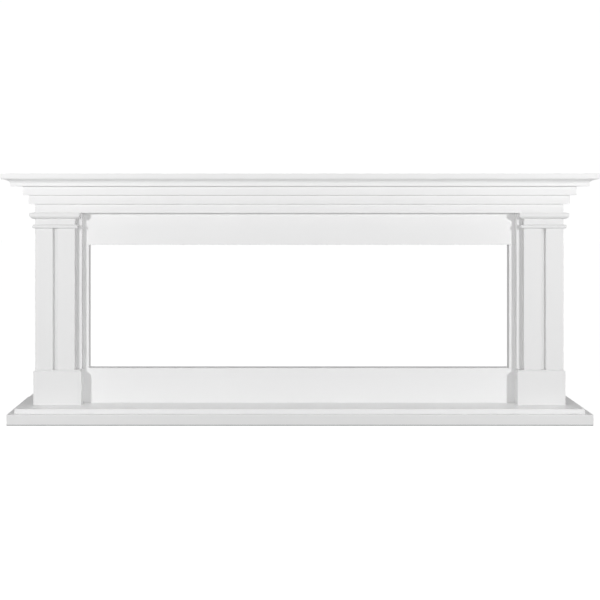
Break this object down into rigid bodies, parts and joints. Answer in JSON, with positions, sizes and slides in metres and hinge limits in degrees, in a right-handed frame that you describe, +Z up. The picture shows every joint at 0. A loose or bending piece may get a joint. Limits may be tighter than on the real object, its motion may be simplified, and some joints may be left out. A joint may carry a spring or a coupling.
{
  "type": "fireplace mantelpiece",
  "caption": "White lacquered fireplace mantelpiece with pilasters, stepped cornice, mantel shelf and two-step hearth round a wide, low firebox opening.",
  "frame": {"origin": "on the floor under the hearth, midway across its width and midway between its front edge and the wall", "axes": "+Z up, +X to the right seen from the front, -Y out of the front into the room; the wall is at the +Y side"},
  "size_m": [2.12, 0.472, 0.888],
  "materials": {
    "hearth_paint": "satin white lacquer on board",
    "panel_paint": "satin white lacquer on board",
    "pilaster_paint": "satin white lacquer on board",
    "cornice_paint": "satin white lacquer on moulded board",
    "shelf_paint": "satin white lacquer on board"
  },
  "bodies": {
    "root": {"hearth_lower_slab": "hearth_paint", "hearth_upper_slab": "hearth_paint", "header_board": "panel_paint", "bottom_rail": "panel_paint", "left_stile": "panel_paint", "right_stile": "panel_paint", "left_plinth": "pilaster_paint", "left_plinth_return": "pilaster_paint", "left_side_board": "pilaster_paint", "left_backing_board": "pilaster_paint", "left_shaft": "pilaster_paint", "left_bead": "pilaster_paint", "left_capital": "pilaster_paint", "right_plinth": "pilaster_paint", "right_plinth_return": "pilaster_paint", "right_side_board": "pilaster_paint", "right_backing_board": "pilaster_paint", "right_shaft": "pilaster_paint", "right_bead": "pilaster_paint", "right_capital": "pilaster_paint", "lower_fascia_front": "cornice_paint", "lower_fascia_left_return": "cornice_paint", "lower_fascia_right_return": "cornice_paint", "middle_fascia_front": "cornice_paint", "middle_fascia_left_return": "cornice_paint", "middle_fascia_right_return": "cornice_paint", "upper_fascia_front": "cornice_paint", "upper_fascia_left_return": "cornice_paint", "upper_fascia_right_return": "cornice_paint", "cove_front": "cornice_paint", "cove_left_return": "cornice_paint", "cove_right_return": "cornice_paint", "mantel_shelf": "shelf_paint"}
  },
  "joints": []
}
